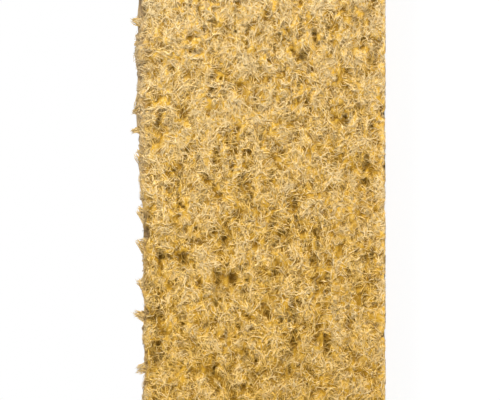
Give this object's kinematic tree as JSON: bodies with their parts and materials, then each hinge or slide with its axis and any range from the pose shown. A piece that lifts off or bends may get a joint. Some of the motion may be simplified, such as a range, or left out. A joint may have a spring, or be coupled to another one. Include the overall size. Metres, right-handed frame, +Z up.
{
  "type": "mineral wool slab",
  "caption": "Flat rectangular slab of bonded mineral wool with sawn fibrous sides, laid or fitted as thermal, acoustic and fire insulation.",
  "frame": {"origin": "middle of the broad face that the slab lies on", "axes": "+X along the 1200 mm length, +Y across the 600 mm width, +Z up through the 100 mm thickness, to the softer broad face"},
  "size_m": [1.2, 0.6, 0.1],
  "materials": {
    "mineral_wool": "matt bonded stone wool fibre, straw to golden brown, rough and fibrous"
  },
  "bodies": {
    "root": {"wool_slab": "mineral_wool"}
  },
  "joints": []
}
